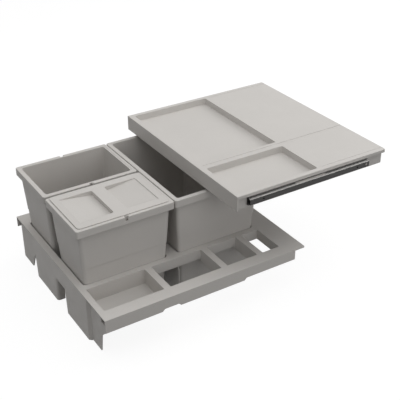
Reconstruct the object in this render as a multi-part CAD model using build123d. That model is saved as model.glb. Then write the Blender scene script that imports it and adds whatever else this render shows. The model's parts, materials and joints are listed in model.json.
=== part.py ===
from build123d import *
import math
import os

# Built-in waste bin: an insert frame for a deep drawer, three bins, a lid and a cover on ball slides.
# Millimetres, +Z up. Everything is laid out from the frame's left front corner on the drawer floor.
# The last section moves it so that the origin is the middle of the whole part's footprint.

# Insert frame
frame_x = 502.0
frame_y = 472.5
frame_height = 110.0
frame_wall = 2.5
frame_free_corner = 3.0
frame_corner = 2.0
trim_edge = 27.0
lip_deep = 31.0
lip_shallow = 25.5
lip_step_run = 6.0
lip_notch_start = 131.0
lip_notch_end = 176.0
lip_tongue_end = 337.0
opening_skirt = 25.0

# Compartments along the front of the frame
tray_front_y = 31.0
tray_y = 85.0
tray_corner = 4.0
tray_depth = 37.0
tray_left_x = 14.0
tray_left_size = 139.0
tray_middle_x = 169.0
tray_middle_size = 127.5
tray_right_x = 312.5
tray_right_size = 79.0
divider_depth = 33.0
slot_x = 407.0
slot_size = 45.0
slot_y = 84.0

# Legs and side apron of the frame
apron_inset = 0.5
apron_height = 46.0
leg_depth = 18.0
leg_taper = 8.0
leg_corner = 6.0
leg_front_y = 91.0
leg_front_size = 112.5
leg_middle_y = 252.0
leg_middle_size = 119.0
right_front_y = 180.0
right_front_size = 54.0
right_rear_y = 408.0
right_rear_size = 46.0
blade_inset = 7.0
blade_foot_gap = 2.0
front_blade_top_y = 34.0
front_blade_bend_y = 37.0
front_blade_bend_z = 46.0
front_blade_foot_y = 44.0
corner_hole_z = 84.0
rear_blade_foot_y = 413.0
rear_blade_end_y = 466.0
rear_blade_slope_y = 388.0
rear_blade_slope_z = 50.0
web_end_y = 421.0
web_from_middle = 6.5

# Bins
bin_rim_above_frame = 144.0
bin_wall = 2.0
bin_floor = 2.5
bin_draft = 3.2
bin_corner = 8.0
crease_above_frame = 40.0
crease_step = 0.8
rim_x = 229.0
small_rim_y = 164.0
rim_gap = 2.0
rim_width = 6.5
rim_wall = 2.0
rim_thickness = 2.5
rim_skirt = 17.0
rim_corner = 5.0
rim_chamfer = 1.0
mouth_corner = 9.0
notch_width = 6.0
notch_depth = 10.0
notch_flare = 2.5
bins_x = 3.5
bins_y = 116.0
bin_clearance = 0.8

# Lid
lid_ledge_depth = 7.0
lid_ledge = 2.2
lid_wall = 2.0
lid_gap = 1.1
lid_below_rim = 0.3
lid_chamfer = 0.8
scoop_bar = 30.0
scoop_x = 76.0
scoop_y = 108.0
scoop_depth = 10.0
scoop_end_depth = 1.4
scoop_corner = 5.0

# Cover
cover_x = 407.0
cover_y = 476.0
cover_height = 36.0
cover_rest_x = 311.5
cover_travel = 240.0
cover_clearance = 7.5
cover_plate = 3.0
cover_wall = 2.5
cover_end_wall = 3.5
cover_lip = 7.5
cover_lip_corner = 4.0
cover_chamfer = 0.8
cover_end_overhang = 0.6
cover_skirt_corner = 7.0
recess_depth = 15.0
recess_corner = 4.0
recess_draft = 1.2
recess_left_margin = 13.5
recess_edge_margin = 11.5
recess_size_x = 205.0
recess_rear_size = 302.0
recess_front_size = 127.0
seam_width = 8.0
seam_depth = 0.7
edge_line_inset = 12.0
edge_line_width = 1.2
edge_line_depth = 0.4
rib_thickness = 2.0
rib_height = 12.0
rib_count = 3

# Ball slides of the cover
slide_from_end = 28.5
slide_length = 325.0
slide_depth = 13.25
slide_pocket = 7.0
slide_above_skirt = 17.0
steel = 1.2
channel_flange = 1.3
channel_reach = 7.0
rail_height = 12.8
rail_flange = 1.6
rail_back_gap = 1.6
rail_hole_radius = 2.1
rail_hole_spacing = 256.0
ball_radius = 1.5
ball_clearance = 0.05
groove_radius = 1.65
groove_depth = 0.4
ball_from_wall = 4.6
ball_count = 3
ball_sides = 8
cage_thickness = 1.5
cage_back_gap = 0.7
cage_front_gap = 0.2
cage_end_gap = 2.0
pocket_clearance = 0.1
stop_length = 13.0
stop_depth = 7.0
stop_fit = 0.05
stud_radius = 2.75
stud_from_end = 8.0
stud_recess = 0.2
tab_thickness = 2.0
tab_reach = 9.0
tab_height = 8.0
tab_gap = 0.2
screw_radius = 1.5
screw_length = 9.5
screw_fit = 0.05
screw_head_radius = 2.6
screw_head = 1.2
screw_count = 2
screw_from_end = 40.0
boss_size = 7.0
boss_length = 7.0

# Heights and places worked out from the sizes above
flange_bottom = frame_height - frame_wall
rim_top = frame_height + bin_rim_above_frame
ledge_z = rim_top - lid_ledge_depth
crease_z = frame_height + crease_above_frame
large_rim_y = 2 * small_rim_y + rim_gap
frame_wall_x = frame_x - trim_edge
body_top_inset = rim_width + lid_ledge - bin_wall
lid_inset = rim_width + lid_gap

cover_bottom = rim_top + cover_clearance
cover_top = cover_bottom + cover_height
cover_lip_bottom = cover_top - cover_lip
cover_front_y = (frame_y - cover_y) / 2
cover_rear_y = (frame_y + cover_y) / 2
cover_end_x = cover_rest_x + cover_x
skirt_end_x = cover_end_x - cover_end_overhang
slide_start_x = cover_rest_x + slide_from_end
slide_end_x = slide_start_x + slide_length
slide_z = cover_bottom + slide_above_skirt
rail_half = rail_height / 2
race_z = rail_half - groove_depth + ball_clearance + ball_radius
channel_inner = race_z + ball_radius + ball_clearance - groove_depth
channel_half = channel_inner + channel_flange
stop_start_x = slide_end_x - stop_length
front_side = (cover_front_y + slide_pocket, -1)
rear_side = (cover_rear_y - slide_pocket, 1)


def block(x0, x1, y0, y1, z0, z1, corner=0.0):
    """Upright block between two opposite corners, with rounded vertical edges where asked."""
    if corner > 0:
        outline = RectangleRounded(x1 - x0, y1 - y0, corner)
    else:
        outline = Rectangle(x1 - x0, y1 - y0)
    return Pos((x0 + x1) / 2, (y0 + y1) / 2, z0) * extrude(outline, z1 - z0)


def body_inset(z):
    """How far the bin's outer wall stands in from its rim's outer face at height z."""
    inset = body_top_inset + (ledge_z - z) * math.tan(math.radians(bin_draft))
    return inset + crease_step if z < crease_z else inset


def drafted_block(low, high, z0, z1, corner):
    """A block with drafted sides and rounded corners, from its sizes in X and Y below and above."""
    profiles = []
    for low_size, high_size in zip(low, high):
        points = [(-low_size / 2, z0), (low_size / 2, z0), (high_size / 2, z1), (-high_size / 2, z1)]
        profiles.append(make_face(Polyline(points, close=True)))
    reach = max(*low, *high)
    along_y = extrude(Plane.XZ * profiles[0], reach, both=True)
    along_x = extrude(Plane.YZ * profiles[1], reach, both=True)
    crossing = along_x & along_y
    return fillet(crossing.edges().group_by(Axis.Z)[1], corner)


def bin_outline(size_y, inset):
    """A bin's size in X and Y, inset from its rim's outer face."""
    return rim_x - 2 * inset, size_y - 2 * inset


def bin_block(size_y, inset, z0, z1, corner=0.0):
    """An upright block with a bin's outline, inset from its rim's outer face."""
    x = rim_x / 2 - inset
    y = size_y / 2 - inset
    return block(-x, x, -y, y, z0, z1, corner)


def make_bin(size_y):
    """A drafted bin with an overhanging rim, a ledge for a lid and a notch in each long rim."""
    foot = bin_outline(size_y, body_inset(0))
    below_crease = bin_outline(size_y, body_inset(crease_z) + crease_step)
    above_crease = bin_outline(size_y, body_inset(crease_z))
    shoulder = bin_outline(size_y, body_inset(ledge_z))
    body = drafted_block(foot, below_crease, 0, crease_z, bin_corner)
    body += drafted_block(above_crease, shoulder, crease_z, ledge_z, bin_corner)
    mouth = bin_block(size_y, rim_width - rim_wall, ledge_z - rim_wall, rim_top - rim_thickness)
    rim_bottom = rim_top - rim_skirt
    rim = bin_block(size_y, 0, rim_bottom, rim_top, rim_corner)
    rim = chamfer(rim.faces().sort_by(Axis.Z)[-1].edges(), rim_chamfer)
    under_rim = bin_block(size_y, rim_wall, rim_bottom, rim_top - rim_thickness, rim_corner - rim_wall)
    floor = bin_outline(size_y, body_inset(bin_floor) + bin_wall)
    neck = bin_outline(size_y, body_inset(ledge_z) + bin_wall)
    inside = drafted_block(floor, neck, bin_floor, ledge_z, bin_corner - bin_wall)
    opening = bin_block(size_y, rim_width, ledge_z, rim_top, mouth_corner)
    notch_line = [
        (-notch_width / 2 - notch_flare, rim_top),
        (-notch_width / 2, rim_top - notch_flare),
        (-notch_width / 2, rim_top - notch_depth),
        (notch_width / 2, rim_top - notch_depth),
        (notch_width / 2, rim_top - notch_flare),
        (notch_width / 2 + notch_flare, rim_top),
    ]
    inner_y = size_y / 2 - rim_width
    between_rims = block(-rim_x / 2, rim_x / 2, -inner_y, inner_y, 0, rim_top)
    notches = wedge(notch_line, 1, size_y) - between_rims
    return (rim - under_rim) + mouth + body - inside - opening - notches


def make_lid():
    """The small bin's drop-in lid, with a scoop on each side of a bar that serves as its grip."""
    top = rim_top - lid_below_rim
    size_x = rim_x - 2 * lid_inset
    size_y = small_rim_y - 2 * lid_inset
    corner = mouth_corner - lid_gap
    outside = Pos(0, 0, ledge_z) * extrude(RectangleRounded(size_x, size_y, corner), top - ledge_z)
    outside = chamfer(outside.faces().sort_by(Axis.Z)[-1].edges(), lid_chamfer)
    hollow_outline = RectangleRounded(size_x - 2 * lid_wall, size_y - 2 * lid_wall, corner - lid_wall)
    solid = outside - Pos(0, 0, ledge_z) * extrude(hollow_outline, top - ledge_z - lid_wall)
    near = scoop_bar / 2
    far = near + scoop_x
    scoop_line = [(near, top), (far, top), (far, top - scoop_end_depth), (near, top - scoop_depth)]
    shell_line = [
        (near - lid_wall, top - lid_wall),
        (far + lid_wall, top - lid_wall),
        (far + lid_wall, top - scoop_end_depth - lid_wall),
        (near, top - scoop_depth - lid_wall),
        (near - lid_wall, top - scoop_depth - lid_wall),
    ]
    for side in (-1, 1):
        shell = wedge(shell_line, side, scoop_y + 2 * lid_wall)
        scoop = wedge(scoop_line, side, scoop_y)
        deep_edges = scoop.edges().filter_by(Axis.Z).sort_by(Axis.X)
        deep_edges = deep_edges[:2] if side > 0 else deep_edges[2:]
        solid = solid + shell - fillet(deep_edges, scoop_corner)
    return solid


def wedge(points, side, size_y):
    """A prism along Y from a profile in X and Z, mirrored to the given side of the middle."""
    outline = make_face(Polyline([(side * x, z) for x, z in points], close=True))
    return Pos(0, size_y / 2, 0) * extrude(Plane.XZ * outline, size_y)


def bin_place(column, row_y):
    """Where a bin's centre stands, from its column and the middle of its rim in Y."""
    return Pos(bins_x + rim_x / 2 + column * (rim_x + rim_gap), row_y, 0)


front_row_y = bins_y + small_rim_y / 2
rear_row_y = front_row_y + small_rim_y + rim_gap
large_row_y = bins_y + large_rim_y / 2
bin_places = {
    "bin_front": (bin_place(0, front_row_y), small_rim_y),
    "bin_back": (bin_place(0, rear_row_y), small_rim_y),
    "bin_large": (bin_place(1, large_row_y), large_rim_y),
}


def leg_block(y0, size, wall, depth, front_taper):
    """A leg's block inwards from X = 0, wider at the top, inset by a wall and round where it tapers."""
    points = [
        (y0 + wall, wall),
        (y0 + size - wall, wall),
        (y0 + size + leg_taper - wall, flange_bottom),
        (y0 - front_taper + wall, flange_bottom),
    ]
    solid = extrude(Plane.YZ * make_face(Polyline(points, close=True)), depth)
    outer_face = solid.faces().filter_by(Axis.X).sort_by(lambda face: abs(face.center().X))[0]
    sides = outer_face.edges().filter_by(Axis.Y, reverse=True).sort_by(Axis.Y)
    return fillet(sides if front_taper > 0 else sides[1:], leg_corner - wall)


def make_leg(y0, size, outer_x, inward, front_taper=leg_taper):
    """A tapered leg, a cup with a foot plate that is open towards the bins."""
    outer = leg_block(y0, size, 0, inward * leg_depth, front_taper)
    hollow = leg_block(y0, size, frame_wall, inward * (leg_depth - frame_wall), front_taper)
    return Pos(outer_x, 0, 0) * (outer - Pos(inward * frame_wall, 0, 0) * hollow)


def make_blade(points):
    """An upright blade under the frame's left edge, from its outline in Y and Z."""
    outline = make_face(Polyline(points, close=True))
    return Pos(blade_inset, 0, 0) * extrude(Plane.YZ * outline, frame_wall)


def make_front_lip():
    """The frame's front lip, with two deeper tongues and small sloping steps between them."""
    deep = frame_height - lip_deep
    shallow = frame_height - lip_shallow
    points = [
        (0, frame_height),
        (frame_wall_x, frame_height),
        (frame_wall_x, shallow),
        (lip_tongue_end + lip_step_run, shallow),
        (lip_tongue_end, deep),
        (lip_notch_end, deep),
        (lip_notch_end - lip_step_run, shallow),
        (lip_notch_start + lip_step_run, shallow),
        (lip_notch_start, deep),
        (0, deep),
    ]
    outline = make_face(Polyline(points, close=True))
    return extrude(Plane.XZ * outline, -frame_wall)


def walls_round(x0, x1, y0, y1, bottom):
    """The block from which an opening's walls are left when the opening is cut out of it."""
    w = frame_wall
    return block(x0 - w, x1 + w, y0 - w, y1 + w, bottom, frame_height)


def make_frame():
    """The insert frame: flange, lips, compartments, skirted openings, apron, legs, blades and web."""
    flange = block(0, frame_x, 0, frame_y, flange_bottom, frame_height)
    upright = flange.edges().filter_by(Axis.Z).sort_by(Axis.X)
    flange = fillet(upright[2:], frame_free_corner)
    flange = fillet(flange.edges().filter_by(Axis.Z).sort_by(Axis.X)[:2], frame_corner)
    solid = flange + make_front_lip()
    lip_bottom = frame_height - lip_shallow
    solid += block(0, frame_wall_x, frame_y - frame_wall, frame_y, lip_bottom, frame_height)
    solid += block(frame_wall_x - frame_wall, frame_wall_x, 0, frame_y, lip_bottom, frame_height)
    holes = []

    tray_back_y = tray_front_y + tray_y
    tray_floor = frame_height - tray_depth
    divider_bottom = frame_height - divider_depth
    skirt_bottom = frame_height - opening_skirt
    x0 = tray_left_x
    x1 = tray_left_x + tray_left_size
    solid += walls_round(x0, x1, tray_front_y, tray_back_y, tray_floor - frame_wall)
    holes.append(block(x0, x1, tray_front_y, tray_back_y, tray_floor, frame_height, tray_corner))
    for x0, size in ((tray_middle_x, tray_middle_size), (tray_right_x, tray_right_size)):
        x1 = x0 + size
        solid += walls_round(x0, x1, tray_front_y, tray_back_y, divider_bottom)
        holes.append(block(x0, x1, tray_front_y, tray_back_y, divider_bottom, frame_height, tray_corner))
        low_y0 = tray_front_y - frame_wall
        low_y1 = tray_back_y + frame_wall
        holes.append(block(x0, x1, low_y0, low_y1, divider_bottom, skirt_bottom))
    x1 = slot_x + slot_size
    slot_back_y = tray_front_y + slot_y
    solid += walls_round(slot_x, x1, tray_front_y, slot_back_y, skirt_bottom)
    holes.append(block(slot_x, x1, tray_front_y, slot_back_y, skirt_bottom, frame_height, tray_corner))

    inset = body_inset(frame_height) - bin_clearance
    for place, size_y in bin_places.values():
        half_x = rim_x / 2 - inset
        half_y = size_y / 2 - inset
        x = place.position.X
        y = place.position.Y
        corner = bin_corner + bin_clearance
        solid += walls_round(x - half_x, x + half_x, y - half_y, y + half_y, skirt_bottom)
        hole = block(x - half_x, x + half_x, y - half_y, y + half_y, skirt_bottom, frame_height, corner)
        holes.append(hole)

    apron_y0 = leg_front_y + leg_front_size / 2
    apron_y1 = leg_middle_y + leg_middle_size / 2
    apron_x1 = apron_inset + frame_wall
    solid += block(apron_inset, apron_x1, apron_y0, apron_y1, frame_height - apron_height, frame_height)
    solid += make_leg(leg_front_y, leg_front_size, apron_inset, 1, front_taper=0)
    solid += make_leg(leg_middle_y, leg_middle_size, apron_inset, 1)
    right_legs = (
        (right_front_y, right_front_size),
        (leg_middle_y, leg_middle_size),
        (right_rear_y, right_rear_size),
    )
    for y0, size in right_legs:
        solid += make_leg(y0, size, frame_wall_x, -1)
    front_blade_end_y = leg_front_y + frame_wall
    solid += make_blade(
        [
            (front_blade_end_y, flange_bottom),
            (front_blade_top_y, flange_bottom),
            (front_blade_top_y, corner_hole_z),
            (frame_wall, corner_hole_z),
            (frame_wall, frame_height - lip_deep),
            (front_blade_bend_y, front_blade_bend_z),
            (front_blade_foot_y, blade_foot_gap),
            (front_blade_end_y, blade_foot_gap),
        ]
    )
    jog = blade_inset - apron_inset
    jog_corner = [(apron_inset, leg_front_y), (blade_inset, leg_front_y), (blade_inset, leg_front_y - jog)]
    solid += extrude(make_face(Polyline(jog_corner, close=True)), flange_bottom)
    rear_blade_start_y = leg_middle_y + leg_middle_size - frame_wall
    solid += make_blade(
        [
            (rear_blade_start_y, flange_bottom),
            (rear_blade_start_y, frame_height - apron_height),
            (rear_blade_slope_y, rear_blade_slope_z),
            (rear_blade_foot_y, 0),
            (rear_blade_end_y, 0),
            (rear_blade_end_y, flange_bottom),
        ]
    )
    web_x0 = bins_x + rim_x + rim_gap / 2 + web_from_middle - frame_wall / 2
    solid += block(web_x0, web_x0 + frame_wall, tray_back_y, web_end_y, 0, flange_bottom)
    for hole in holes:
        solid -= hole
    return solid


def make_cover():
    """The cover: a lipped plate with two sunk trays, over a skirt that is set back for the slides."""
    w = cover_wall
    x0, x1 = cover_rest_x, cover_end_x
    y0, y1 = cover_front_y, cover_rear_y
    plate_bottom = cover_top - cover_plate
    pan = block(x0, x1, y0, y1, cover_lip_bottom, cover_top)
    pan = fillet(pan.edges().filter_by(Axis.Z).sort_by(Axis.X)[2:], cover_lip_corner)
    pan = chamfer(pan.faces().sort_by(Axis.Z)[-1].edges(), cover_chamfer)
    pan -= block(x0 + w, x1 - w, y0 + w, y1 - w, cover_lip_bottom, plate_bottom)
    skirt_y0, skirt_y1 = y0 + slide_pocket, y1 - slide_pocket
    skirt = block(x0, skirt_end_x, skirt_y0, skirt_y1, cover_bottom, plate_bottom)
    skirt = fillet(skirt.edges().filter_by(Axis.Z).sort_by(Axis.X)[2:], cover_skirt_corner)
    end_x = x0 + cover_end_wall
    hollow = block(end_x, skirt_end_x - w, skirt_y0 + w, skirt_y1 - w, cover_bottom, plate_bottom)
    hollow = fillet(hollow.edges().filter_by(Axis.Z).sort_by(Axis.X)[2:], cover_skirt_corner - w)
    solid = pan + (skirt - hollow)
    solid += block(x0, end_x, y0, y1, cover_bottom, plate_bottom)

    tray_x0 = x0 + recess_left_margin
    tray_x1 = tray_x0 + recess_size_x
    front_y0 = y0 + recess_edge_margin
    rear_y1 = y1 - recess_edge_margin
    trays = ((front_y0, front_y0 + recess_front_size), (rear_y1 - recess_rear_size, rear_y1))
    floor = cover_top - recess_depth
    for tray_y0, tray_y1 in trays:
        solid += block(tray_x0 - w, tray_x1 + w, tray_y0 - w, tray_y1 + w, floor - w, plate_bottom)
    seam_y = (trays[0][1] + trays[1][0]) / 2
    seam_y0, seam_y1 = seam_y - seam_width / 2, seam_y + seam_width / 2
    solid -= block(tray_x0, x1, seam_y0, seam_y1, cover_top - seam_depth, cover_top)
    line_x0 = tray_x1 + edge_line_inset
    for line_y in (y0 + edge_line_inset, y1 - edge_line_inset):
        line_y0, line_y1 = line_y - edge_line_width / 2, line_y + edge_line_width / 2
        solid -= block(line_x0, skirt_end_x, line_y0, line_y1, cover_top - edge_line_depth, cover_top)
    rib_step = (skirt_end_x - tray_x1) / (rib_count + 1)
    for i in range(rib_count):
        rib_x = tray_x1 + (i + 1) * rib_step
        rib_bottom = plate_bottom - rib_height
        rib_x0, rib_x1 = rib_x - rib_thickness / 2, rib_x + rib_thickness / 2
        solid += block(rib_x0, rib_x1, skirt_y0 + w, skirt_y1 - w, rib_bottom, plate_bottom)
    half = boss_size / 2
    for wall_y, out in (front_side, rear_side):
        inner_y = wall_y - out * w
        boss_y = inner_y - out * boss_length
        deep_y = wall_y + out * steel - out * screw_length
        for x in screw_stations():
            near_y, far_y = min(inner_y, boss_y), max(inner_y, boss_y)
            solid += block(x - half, x + half, near_y, far_y, slide_z - half, slide_z + half)
            solid -= rod(x, slide_z, wall_y, deep_y, screw_radius + screw_fit)
    for tray_y0, tray_y1 in trays:
        solid -= drafted_tray(tray_x0, tray_x1, tray_y0, tray_y1, floor)
    return solid


def drafted_tray(x0, x1, y0, y1, floor):
    """The space of a sunk tray in the cover, with drafted walls."""
    size_x, size_y = x1 - x0, y1 - y0
    low = (size_x - 2 * recess_draft, size_y - 2 * recess_draft)
    space = drafted_block(low, (size_x, size_y), floor, cover_top, recess_corner)
    return Pos((x0 + x1) / 2, (y0 + y1) / 2, 0) * space


def screw_stations():
    """Where along X the screws of each channel stand."""
    step = (slide_length - 2 * screw_from_end) / (screw_count - 1)
    return [slide_start_x + screw_from_end + i * step for i in range(screw_count)]


def rod(x, z, y0, y1, radius):
    """A round bar along Y between two places."""
    bar = Rot(-90, 0, 0) * Cylinder(radius, abs(y1 - y0), align=(Align.CENTER, Align.CENTER, Align.MIN))
    return Pos(x, min(y0, y1), z) * bar


def profile(side, x, shapes):
    """Rectangles of a slide's section, each from depth and height limits, placed at x on its side."""
    wall_y, out = side
    section = Sketch()
    for d0, d1, h0, h1 in shapes:
        middle = Pos(wall_y + out * (d0 + d1) / 2, slide_z + (h0 + h1) / 2)
        section += middle * Rectangle(d1 - d0, h1 - h0)
    return Pos(x, 0, 0) * (Plane.YZ * section)


def race(side, height):
    """The raceways' round bars, cut from a slide member above and below its middle."""
    wall_y, out = side
    section = Sketch()
    for sign in (-1, 1):
        section += Pos(wall_y + out * ball_from_wall, slide_z + sign * height) * Circle(groove_radius)
    return Pos(slide_start_x, 0, 0) * extrude(Plane.YZ * section, slide_length)


def make_channel(side):
    """The cover's slide member: a steel channel that is open outwards, with a bent tab near its end."""
    shapes = (
        (0, steel, -channel_half, channel_half),
        (0, channel_reach, channel_inner, channel_half),
        (0, channel_reach, -channel_half, -channel_inner),
    )
    solid = extrude(profile(side, slide_start_x, shapes), slide_length)
    solid -= race(side, channel_inner + groove_depth - groove_radius)
    tab_x = stop_start_x - tab_gap - tab_thickness
    solid += extrude(profile(side, tab_x, ((0, tab_reach, -tab_height / 2, tab_height / 2),)), tab_thickness)
    wall_y, out = side
    for x in screw_stations():
        solid -= rod(x, slide_z, wall_y, wall_y + out * steel, screw_radius + screw_fit)
    return solid


def make_rail(side):
    """The cabinet's slide member: a smaller channel whose web lies on the cabinet wall."""
    back = steel + rail_back_gap
    shapes = (
        (slide_depth - steel, slide_depth, -rail_half, rail_half),
        (back, slide_depth, rail_half - rail_flange, rail_half),
        (back, slide_depth, -rail_half, rail_flange - rail_half),
    )
    solid = extrude(profile(side, slide_start_x, shapes), slide_length)
    solid -= race(side, rail_half - groove_depth + groove_radius)
    wall_y, out = side
    web_y = wall_y + out * (slide_depth - steel)
    face_y = wall_y + out * slide_depth
    middle_x = slide_start_x + slide_length / 2
    for x in (middle_x - rail_hole_spacing / 2, middle_x + rail_hole_spacing / 2):
        solid -= rod(x, slide_z, web_y, face_y, rail_hole_radius)
    return solid - rod(slide_end_x - stud_from_end, slide_z, web_y, face_y, stud_radius + stop_fit)


def make_stop(side):
    """The moulded stop in the rail's end, held by a stud in the web, which the channel's tab meets."""
    wall_y, out = side
    web = slide_depth - steel
    half = rail_half - rail_flange - stop_fit
    solid = extrude(profile(side, stop_start_x, ((web - stop_depth, web, -half, half),)), stop_length)
    root_y = wall_y + out * (web - stop_depth / 2)
    tip_y = wall_y + out * (slide_depth - stud_recess)
    return solid + rod(slide_end_x - stud_from_end, slide_z, root_y, tip_y, stud_radius)


def cage_span():
    """Where the ball cages start and end along X, inside both members over the whole travel."""
    inset = cover_travel / 2 + cage_end_gap
    return slide_start_x + inset, slide_end_x - inset


def ball_stations():
    """Where along X the balls of a cage stand."""
    start, end = cage_span()
    step = (end - start) / ball_count
    return [start + (i + 0.5) * step for i in range(ball_count)]


def make_cage(side, sign):
    """A ball cage above or below the rail: a strip with a square window for each ball."""
    wall_y, out = side
    start, end = cage_span()
    low = sign * race_z - cage_thickness / 2
    shapes = ((steel + cage_back_gap, channel_reach - cage_front_gap, low, low + cage_thickness),)
    solid = extrude(profile(side, start, shapes), end - start)
    window = 2 * (ball_radius + pocket_clearance)
    pocket = Box(window, window, 2 * cage_thickness)
    ball_y = wall_y + out * ball_from_wall
    return solid - [Pos(x, ball_y, slide_z + sign * race_z) * pocket for x in ball_stations()]


def make_balls(side, sign):
    """The balls of one cage, each cut to flats from three crossing prisms."""
    wall_y, out = side
    ball_y = wall_y + out * ball_from_wall
    flats_square = Rot(0, 0, 180 / ball_sides)
    prism = extrude(flats_square * RegularPolygon(ball_radius, ball_sides), ball_radius, both=True)
    ball = prism & (Rot(90, 0, 0) * prism) & (Rot(0, 90, 0) * prism)
    return Compound([Pos(x, ball_y, slide_z + sign * race_z) * ball for x in ball_stations()])


def make_screws(side):
    """The screws that hold one channel to the cover's skirt."""
    wall_y, out = side
    face_y = wall_y + out * steel
    screws = []
    for x in screw_stations():
        head = rod(x, slide_z, face_y, face_y + out * screw_head, screw_head_radius)
        shank = rod(x, slide_z, face_y, face_y - out * screw_length, screw_radius)
        screws.append(head + shank)
    return Compound(screws)


# All pieces, by name
pieces = {"insert_frame": make_frame(), "cover_panel": make_cover()}
for name, (place, size_y) in bin_places.items():
    pieces[name] = place * make_bin(size_y)
pieces["bin_lid"] = bin_places["bin_front"][0] * make_lid()
for where, side in (("front", front_side), ("rear", rear_side)):
    pieces[f"cover_channel_{where}"] = make_channel(side)
    pieces[f"channel_stop_{where}"] = make_stop(side)
    pieces[f"channel_screws_{where}"] = make_screws(side)
    pieces[f"cabinet_rail_{where}"] = make_rail(side)
    for level, sign in (("upper", 1), ("lower", -1)):
        pieces[f"ball_cage_{where}_{level}"] = make_cage(side, sign)
        pieces[f"balls_{where}_{level}"] = make_balls(side, sign)

# The origin is under the middle of the whole part
middle_x = cover_end_x / 2
middle_y = frame_y / 2
os.makedirs("parts", exist_ok=True)
for name, piece in pieces.items():
    export_step(Pos(-middle_x, -middle_y, 0) * piece, f"parts/{name}.step")
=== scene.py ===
import json
import math

import bmesh
import bpy
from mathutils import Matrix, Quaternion, Vector


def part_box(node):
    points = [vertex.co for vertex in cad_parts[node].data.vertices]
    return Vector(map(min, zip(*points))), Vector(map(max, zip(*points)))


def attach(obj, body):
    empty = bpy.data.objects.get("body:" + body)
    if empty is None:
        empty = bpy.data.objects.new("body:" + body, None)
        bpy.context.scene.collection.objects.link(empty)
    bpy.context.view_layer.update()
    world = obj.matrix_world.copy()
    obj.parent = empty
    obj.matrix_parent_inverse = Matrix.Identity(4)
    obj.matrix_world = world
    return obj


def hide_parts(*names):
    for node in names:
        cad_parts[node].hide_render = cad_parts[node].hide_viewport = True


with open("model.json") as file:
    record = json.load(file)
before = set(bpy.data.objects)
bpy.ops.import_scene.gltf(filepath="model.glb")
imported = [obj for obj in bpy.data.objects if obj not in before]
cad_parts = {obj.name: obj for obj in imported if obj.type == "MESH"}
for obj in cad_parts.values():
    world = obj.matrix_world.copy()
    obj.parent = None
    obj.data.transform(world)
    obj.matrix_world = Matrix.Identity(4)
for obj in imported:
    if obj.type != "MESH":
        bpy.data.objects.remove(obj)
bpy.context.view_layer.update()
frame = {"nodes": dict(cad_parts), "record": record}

# Camera at the photograph's viewing angle: place in metres, roll in radians, lens and sensor in millimetres
camera_place = Vector((-0.8768, -1.4144, 1.1276))
camera_forward = Vector((0.4599, 0.7319, -0.5028))
camera_roll = 0.0038
camera_lens = 73.49
sensor_width = 36.0

# Lamps: name, place and size in metres, power in watts
lamps = (
    ("above", (0.0, 0.0, 3.0), 5.0, 59.5),
    ("front", (0.0, -3.0, 1.2), 2.0, 13.0),
    ("right", (2.6, 0.0, 1.8), 2.0, 32.0),
)
lamp_aim = Vector((0.0, 0.0, 0.12))
sky_strength = 0.25

# Floor: half its width in metres, its greys for bounced light and for its shadow, and its own glow
floor_half = 6.0
floor_bounce = (0.22, 0.22, 0.22, 1)
floor_shadow = (0.14, 0.14, 0.14, 1)
floor_glow = 0.91

# Colours
grey_plastic = (0.603, 0.581, 0.554, 1)
rail_paint = (0.035, 0.033, 0.032, 1)
channel_paint = (0.150, 0.145, 0.140, 1)
cage_plastic = (0.400, 0.375, 0.350, 1)
bare_steel = (0.550, 0.545, 0.535, 1)
# Pale plating for the rails' upward faces: a painted highlight for the light falling on their tops
top_highlight_colour = (0.700, 0.690, 0.675, 1)

# Noise: its detail, the stretch of its values that is used, and its scales in grains per metre
noise_detail = 2.0
noise_low = 0.3
noise_high = 0.7
cloud_scale = 9.0
gloss_scale = 60.0
grain_scale = 1400.0
plating_scale = 700.0
streak_scale = (12.0, 900.0, 900.0)

# Plastic: roughness, its spread and that of the tint, shine, grain height in metres and grain strength
bin_roughness = 0.55
cage_roughness = 0.4
gloss_spread = 0.05
tint_spread = 0.035
plastic_shine = 0.3
grain_height = 0.0002
grain_strength = 0.25

# Steel: share of metal in the coated surface, roughness and its spread
coating_metal = 0.35
coating_smoothest = 0.26
coating_roughest = 0.42
ball_roughness = 0.12
screw_roughness = 0.3
# Roughness of the painted highlight on the rails' upward faces
highlight_roughness = 0.5
plating_spread = 0.2

# Softened edges: number of samples, radii in metres
edge_samples = 6
plastic_edge = 0.0008
cage_edge = 0.0003
steel_edge = 0.0004

# The solids' sizes where the reshaped pieces differ from them, in metres
rim_width = 0.0065
ledge_below_rim = 0.007
ledge_inset = 0.0087
ledge_corner = 0.006
notch_flare = 0.0025
lid_chamfer = 0.0008
tray_corner = 0.004
opening_inset = 0.0144
leg_end = 0.0185

# How far some of the solids' forms reach, with a little to spare, in metres
notch_reach = 0.006
lid_border = 0.004
opening_corner = 0.009
opening_wall = 0.0026
opening_skirt = 0.0252

# The reshaped pieces' own sizes, in metres
broad_rim_inset = 0.0105
rim_step = 0.0005
notch_step = 0.0004
notch_deeper = 0.0035
rear_gap = 0.0052
lid_raise = 0.002
lid_edge = 0.0003
lid_gap = 0.0001
opening_wider = 0.0022

# The cut between the small bins: how far it goes past the bar, below the frame's top and above it, in metres
bar_spare = 0.0001
bar_depth = 0.026
bar_above = 0.001

# Share of its radius that a compartment's corner keeps
corner_share = 0.25

# The frame's compartments: left and right sides and rear from the frame's left front corner, in metres
compartment_front = 0.031
compartments = (
    (0.014, 0.153, 0.116),
    (0.169, 0.2965, 0.116),
    (0.3125, 0.3915, 0.116),
    (0.407, 0.452, 0.115),
)

# Margins, in metres: at a height or corner, at the ledge's edge, at a leg's end, and of points on one another
level_margin = 0.0002
ledge_margin = 0.00087
leg_margin = 0.00005
weld_margin = 0.000002

# The angle between faces from which their edge is sharp, and the upward part of an upper face's direction
crease_angle = math.radians(30)
upper_face = 0.99


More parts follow.
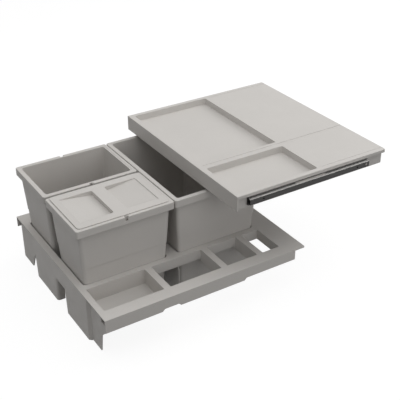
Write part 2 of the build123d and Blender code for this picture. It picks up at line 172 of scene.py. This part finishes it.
def new_material(name):
    """A material with its node tree, its main shader and its object coordinates."""
    material = bpy.data.materials.new(name)
    material.use_nodes = True
    nodes = material.node_tree.nodes
    shader = nodes["Principled BSDF"]
    place = nodes.new("ShaderNodeTexCoord")
    return material, nodes, material.node_tree.links, shader, place.outputs["Object"]


def add_noise(nodes, links, place, scale):
    """Noise in the part's own coordinates, with scale in grains per metre."""
    noise = nodes.new("ShaderNodeTexNoise")
    noise.inputs["Scale"].default_value = scale
    noise.inputs["Detail"].default_value = noise_detail
    links.new(place, noise.inputs["Vector"])
    return noise.outputs["Fac"]


def add_range(nodes, links, value, low, high):
    """Maps the middle of a noise value to the range from low to high."""
    ramp = nodes.new("ShaderNodeMapRange")
    ramp.inputs["From Min"].default_value = noise_low
    ramp.inputs["From Max"].default_value = noise_high
    ramp.inputs["To Min"].default_value = low
    ramp.inputs["To Max"].default_value = high
    links.new(value, ramp.inputs["Value"])
    return ramp.outputs["Result"]


def add_soft_edge(nodes, radius):
    """The surface's direction with its edges softened."""
    rounded = nodes.new("ShaderNodeBevel")
    rounded.samples = edge_samples
    rounded.inputs["Radius"].default_value = radius
    return rounded.outputs["Normal"]


def moulded_plastic(name, colour, roughness, edge):
    """Moulded plastic: a fine spark-eroded grain, slightly uneven gloss and softened edges."""
    material, nodes, links, shader, place = new_material(name)
    cloud = add_noise(nodes, links, place, cloud_scale)
    tint = nodes.new("ShaderNodeMix")
    tint.data_type = "RGBA"
    tint.inputs["A"].default_value = [c * (1 - tint_spread) for c in colour[:3]] + [1]
    tint.inputs["B"].default_value = [min(1, c * (1 + tint_spread)) for c in colour[:3]] + [1]
    links.new(cloud, tint.inputs["Factor"])
    links.new(tint.outputs["Result"], shader.inputs["Base Color"])
    uneven = add_noise(nodes, links, place, gloss_scale)
    gloss = add_range(nodes, links, uneven, roughness - gloss_spread, roughness + gloss_spread)
    links.new(gloss, shader.inputs["Roughness"])
    shader.inputs["Specular IOR Level"].default_value = plastic_shine
    grain = nodes.new("ShaderNodeBump")
    grain.inputs["Strength"].default_value = grain_strength
    grain.inputs["Distance"].default_value = grain_height
    links.new(add_noise(nodes, links, place, grain_scale), grain.inputs["Height"])
    links.new(add_soft_edge(nodes, edge), grain.inputs["Normal"])
    links.new(grain.outputs["Normal"], shader.inputs["Normal"])
    return material


def coated_steel(name, colour):
    """Rolled steel with a dark coating, faintly streaked along its length."""
    material, nodes, links, shader, place = new_material(name)
    stretch = nodes.new("ShaderNodeMapping")
    stretch.inputs["Scale"].default_value = streak_scale
    links.new(place, stretch.inputs["Vector"])
    streak = add_noise(nodes, links, stretch.outputs["Vector"], 1.0)
    shader.inputs["Base Color"].default_value = colour
    shader.inputs["Metallic"].default_value = coating_metal
    gloss = add_range(nodes, links, streak, coating_smoothest, coating_roughest)
    links.new(gloss, shader.inputs["Roughness"])
    links.new(add_soft_edge(nodes, steel_edge), shader.inputs["Normal"])
    return material


def bright_steel(name, colour, roughness):
    """Plated steel with faint uneven gloss."""
    material, nodes, links, shader, place = new_material(name)
    shader.inputs["Base Color"].default_value = colour
    shader.inputs["Metallic"].default_value = 1.0
    uneven = add_noise(nodes, links, place, plating_scale)
    smoothest = roughness * (1 - plating_spread)
    roughest = roughness * (1 + plating_spread)
    links.new(add_range(nodes, links, uneven, smoothest, roughest), shader.inputs["Roughness"])
    return material


def add_materials():
    """Gives each node its slot's material, the channels a greyer coating and the rails' upward faces a pale
    plating that paints a highlight on their tops.
    """
    materials = {
        "grey_plastic": moulded_plastic("grey_plastic", grey_plastic, bin_roughness, plastic_edge),
        "dark_steel": coated_steel("dark_steel", rail_paint),
        "cage_plastic": moulded_plastic("cage_plastic", cage_plastic, cage_roughness, cage_edge),
        "ball_steel": bright_steel("ball_steel", bare_steel, ball_roughness),
        "screw_steel": bright_steel("screw_steel", bare_steel, screw_roughness),
    }
    for subpart in frame["record"]["subparts"]:
        node = frame["nodes"][subpart["node"]]
        node.data.materials.clear()
        node.data.materials.append(materials[subpart["material_slot"]])
    channel_steel = coated_steel("channel_steel", channel_paint)
    for channel in ("cover_channel_front", "cover_channel_rear"):
        frame["nodes"][channel].data.materials[0] = channel_steel
    # Painted highlight: the rails' upward top faces get a pale plated material in place of the dark coating,
    # which stands in for the light falling on them from above
    painted_top_highlight = bright_steel("painted_top_highlight", top_highlight_colour, highlight_roughness)
    for rail in ("cabinet_rail_front", "cabinet_rail_rear"):
        mesh = frame["nodes"][rail].data
        mesh.materials.append(painted_top_highlight)
        top = max(corner.co.z for corner in mesh.vertices)
        for face in mesh.polygons:
            if face.normal.z > upper_face and face.center.z > top - level_margin:
                face.material_index = 1


def reshaped(node, body):
    """A copy of a node's mesh, which stands for the node and takes another shape."""
    piece = bpy.data.objects.new(node + "_shell", frame["nodes"][node].data.copy())
    bpy.context.scene.collection.objects.link(piece)
    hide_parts(node)
    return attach(piece, body)


def at_level(corner, level):
    """Whether a point lies at a height."""
    return abs(corner.co.z - level) < level_margin


def past_ledge(x, y, half):
    """How far a point at x and y from the bin's middle lies outside the ledge's rounded inner edge."""
    across = abs(x) - (half.x - ledge_inset - ledge_corner)
    along = abs(y) - (half.y - ledge_inset - ledge_corner)
    return math.hypot(max(across, 0), max(along, 0)) + min(max(across, along), 0) - ledge_corner


def widen_rim(piece, low, high):
    """Brings the lid's ledge up to the rim and further in, so that the rim is broad and nearly flat."""
    middle = (low + high) / 2
    half = (high - low) / 2
    narrower_x = (half.x - broad_rim_inset) / (half.x - ledge_inset)
    narrower_y = (half.y - broad_rim_inset) / (half.y - ledge_inset)
    for corner in piece.data.vertices:
        if at_level(corner, high.z - ledge_below_rim):
            x = corner.co.x - middle.x
            y = corner.co.y - middle.y
            corner.co.z = high.z - rim_step
            if past_ledge(x, y, half) < ledge_margin:
                corner.co.x = middle.x + x * narrower_x
                corner.co.y = middle.y + y * narrower_y


def deepen_notch(piece, low, high):
    """Ends each notch's flare at the broad rim and lets it reach further down on the rim's outer face."""
    middle = (low + high) / 2
    half = (high - low) / 2
    for corner in piece.data.vertices:
        if at_level(corner, high.z - notch_flare):
            from_side = half.y - abs(corner.co.y - middle.y)
            if abs(from_side - rim_width) < level_margin:
                corner.co.z = high.z - notch_step
            elif from_side < rim_width / 2 and abs(corner.co.x - middle.x) < notch_reach:
                corner.co.z -= notch_deeper


def shorten_rear(piece, low, high):
    """Moves the bin's rear half forwards, which leaves a gap to the bin behind it."""
    for corner in piece.data.vertices:
        if corner.co.y > (low.y + high.y) / 2:
            corner.co.y -= rear_gap


def raise_lid(piece, low, high, rim_top):
    """Lays the lid on the rim as a plate whose edge shows, with its scoops in the mouth."""
    for corner in piece.data.vertices:
        sides = (corner.co.x - low.x, high.x - corner.co.x, corner.co.y - low.y, high.y - corner.co.y)
        on_border = min(sides) < lid_border
        if on_border and at_level(corner, rim_top - ledge_below_rim):
            corner.co.z = rim_top - rim_step + lid_gap
        elif on_border and at_level(corner, high.z - lid_chamfer):
            corner.co.z = high.z + lid_raise - lid_edge
        else:
            corner.co.z += lid_raise


def sharpen_corner(piece, sharp_x, sharp_y, inward_x, inward_y):
    """Draws one round upright edge of a compartment towards the sharp corner."""
    for corner in piece.data.vertices:
        x = corner.co.x - sharp_x
        y = corner.co.y - sharp_y
        beside = -level_margin < x * inward_x < tray_corner + level_margin
        behind = -level_margin < y * inward_y < tray_corner + level_margin
        if beside and behind:
            corner.co.x = sharp_x + x * corner_share
            corner.co.y = sharp_y + y * corner_share


def sharpen_compartments(piece, origin):
    """Makes the corners of the frame's compartments nearly sharp."""
    for left, right, rear in compartments:
        for x, inward_x in ((left, 1), (right, -1)):
            for y, inward_y in ((compartment_front, 1), (rear, -1)):
                sharpen_corner(piece, origin.x + x, origin.y + y, inward_x, inward_y)


def bin_opening(node):
    """The low and high corners of the frame's opening for a bin."""
    low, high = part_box(node)
    inset = Vector((opening_inset, opening_inset, 0))
    return low + inset, high - inset


def widen_openings(piece, origin, top):
    """Moves the sides of the bins' openings out, so that a gap shows beside each bin."""
    openings = [bin_opening(node) for node in ("bin_front", "bin_back", "bin_large")]
    for corner in piece.data.vertices:
        x, y, z = corner.co
        on_leg = abs(x - origin.x - leg_end) < leg_margin
        if z < top - opening_skirt or on_leg:
            continue
        for low, high in openings:
            if low.y - opening_wall < y < high.y + opening_wall:
                if low.x - opening_wall < x < low.x + opening_corner:
                    corner.co.x -= opening_wider
                if high.x - opening_corner < x < high.x + opening_wall:
                    corner.co.x += opening_wider


def join_points(mesh):
    """Makes one point of points that lie on one another, so that the mesh is one closed skin."""
    skin = bmesh.new()
    skin.from_mesh(mesh)
    bmesh.ops.remove_doubles(skin, verts=skin.verts, dist=weld_margin)
    skin.to_mesh(mesh)
    skin.free()


def add_box(name, low, high):
    """A box between two corners."""
    block = bmesh.new()
    bmesh.ops.create_cube(block, size=1.0)
    for corner in block.verts:
        corner.co = corner.co * (high - low) + (low + high) / 2
    mesh = bpy.data.meshes.new(name)
    block.to_mesh(mesh)
    block.free()
    box = bpy.data.objects.new(name, mesh)
    bpy.context.scene.collection.objects.link(box)
    return box


def cut_away(piece, box):
    """Takes a box out of a piece, removes the box and shades the piece afresh."""
    join_points(piece.data)
    cut = piece.modifiers.new("cut", "BOOLEAN")
    cut.operation = "DIFFERENCE"
    cut.solver = "EXACT"
    cut.object = box
    bpy.context.view_layer.update()
    shape = piece.evaluated_get(bpy.context.evaluated_depsgraph_get())
    mesh = bpy.data.meshes.new_from_object(shape)
    piece.modifiers.clear()
    piece.data = mesh
    bpy.data.objects.remove(box)
    former_shading = mesh.attributes.get("custom_normal")
    if former_shading:
        mesh.attributes.remove(former_shading)
    mesh.shade_smooth()
    mesh.set_sharp_from_angle(angle=crease_angle)


def cut_bar(piece, top):
    """Cuts the bar between the two small bins away, which makes one opening for both."""
    front_low, front_high = bin_opening("bin_front")
    back_low, back_high = bin_opening("bin_back")
    beside = opening_wider + bar_spare
    along = opening_corner + bar_spare
    low = Vector((front_low.x - beside, front_high.y - along, top - bar_depth))
    high = Vector((back_high.x + beside, back_low.y + along, top + bar_above))
    cut_away(piece, add_box("bar", low, high))


def reshape_bins():
    """The three bins with broad rims, the front one with a gap behind it, and the lid on its rim."""
    for node, body in (("bin_front", "front_bin"), ("bin_back", "back_bin"), ("bin_large", "large_bin")):
        low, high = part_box(node)
        shell = reshaped(node, body)
        widen_rim(shell, low, high)
        deepen_notch(shell, low, high)
        if node == "bin_front":
            shorten_rear(shell, low, high)
    low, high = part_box("bin_lid")
    rim_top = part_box("bin_front")[1].z
    raise_lid(reshaped("bin_lid", "lid"), low, high, rim_top)


def reshape_frame():
    """The frame with sharper compartments, wider bin openings and one opening for both small bins."""
    low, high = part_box("insert_frame")
    shell = reshaped("insert_frame", "insert")
    sharpen_compartments(shell, low)
    widen_openings(shell, low, high.z)
    cut_bar(shell, high.z)


def add_seen(nodes, links):
    """1 for the rays that show the background, straight, mirrored or through glass, and 0 for its light."""
    path = nodes.new("ShaderNodeLightPath")
    seen = path.outputs["Is Camera Ray"]
    for kind in ("Is Glossy Ray", "Is Transmission Ray"):
        either = nodes.new("ShaderNodeMath")
        either.operation = "MAXIMUM"
        links.new(seen, either.inputs[0])
        links.new(path.outputs[kind], either.inputs[1])
        seen = either.outputs["Value"]
    return seen


def floor_material():
    """White with a soft shadow where it is seen, and grey for the light that it throws back."""
    material = bpy.data.materials.new("floor")
    material.use_nodes = True
    nodes = material.node_tree.nodes
    links = material.node_tree.links
    nodes.clear()
    output = nodes.new("ShaderNodeOutputMaterial")
    bounce = nodes.new("ShaderNodeBsdfDiffuse")
    bounce.inputs["Color"].default_value = floor_bounce
    shadowed = nodes.new("ShaderNodeBsdfDiffuse")
    shadowed.inputs["Color"].default_value = floor_shadow
    glow = nodes.new("ShaderNodeEmission")
    glow.inputs["Strength"].default_value = floor_glow
    white = nodes.new("ShaderNodeAddShader")
    links.new(shadowed.outputs["BSDF"], white.inputs[0])
    links.new(glow.outputs["Emission"], white.inputs[1])
    mix = nodes.new("ShaderNodeMixShader")
    links.new(add_seen(nodes, links), mix.inputs["Fac"])
    links.new(bounce.outputs["BSDF"], mix.inputs[1])
    links.new(white.outputs["Shader"], mix.inputs[2])
    links.new(mix.outputs["Shader"], output.inputs["Surface"])
    return material


def add_floor():
    """A plain pale floor under the object."""
    mesh = bpy.data.meshes.new("floor")
    around = ((-1, -1), (1, -1), (1, 1), (-1, 1))
    corners = [(x * floor_half, y * floor_half, 0) for x, y in around]
    mesh.from_pydata(corners, [], [(0, 1, 2, 3)])
    mesh.materials.append(floor_material())
    floor = bpy.data.objects.new("floor", mesh)
    bpy.context.scene.collection.objects.link(floor)


def add_lamp(name, place, size, power):
    """A large soft area lamp, aimed at the object."""
    light = bpy.data.lights.new(name, "AREA")
    light.shape = "DISK"
    light.size = size
    light.energy = power
    lamp = bpy.data.objects.new(name, light)
    lamp.location = place
    lamp.rotation_mode = "QUATERNION"
    lamp.rotation_quaternion = (lamp_aim - Vector(place)).to_track_quat("-Z", "Y")
    bpy.context.scene.collection.objects.link(lamp)


def add_world():
    """An even pale sky, which shows white where it is seen."""
    world = bpy.data.worlds.new("world")
    world.use_nodes = True
    nodes = world.node_tree.nodes
    links = world.node_tree.links
    sky = nodes["Background"]
    level = nodes.new("ShaderNodeMapRange")
    level.inputs["To Min"].default_value = sky_strength
    level.inputs["To Max"].default_value = 1.0
    links.new(add_seen(nodes, links), level.inputs["Value"])
    links.new(level.outputs["Result"], sky.inputs["Strength"])
    sky.inputs["Color"].default_value = (1, 1, 1, 1)
    bpy.context.scene.world = world


def add_camera():
    """The camera from which the object is pictured."""
    data = bpy.data.cameras.new("camera")
    data.lens = camera_lens
    data.sensor_width = sensor_width
    camera = bpy.data.objects.new("camera", data)
    camera.location = camera_place
    camera.rotation_mode = "QUATERNION"
    level = camera_forward.to_track_quat("-Z", "Y")
    camera.rotation_quaternion = Quaternion(camera_forward, camera_roll) @ level
    bpy.context.scene.collection.objects.link(camera)
    bpy.context.scene.camera = camera


add_materials()
reshape_bins()
reshape_frame()
add_floor()
add_world()
for lamp in lamps:
    add_lamp(*lamp)
add_camera()
bpy.context.scene.view_settings.view_transform = "Standard"
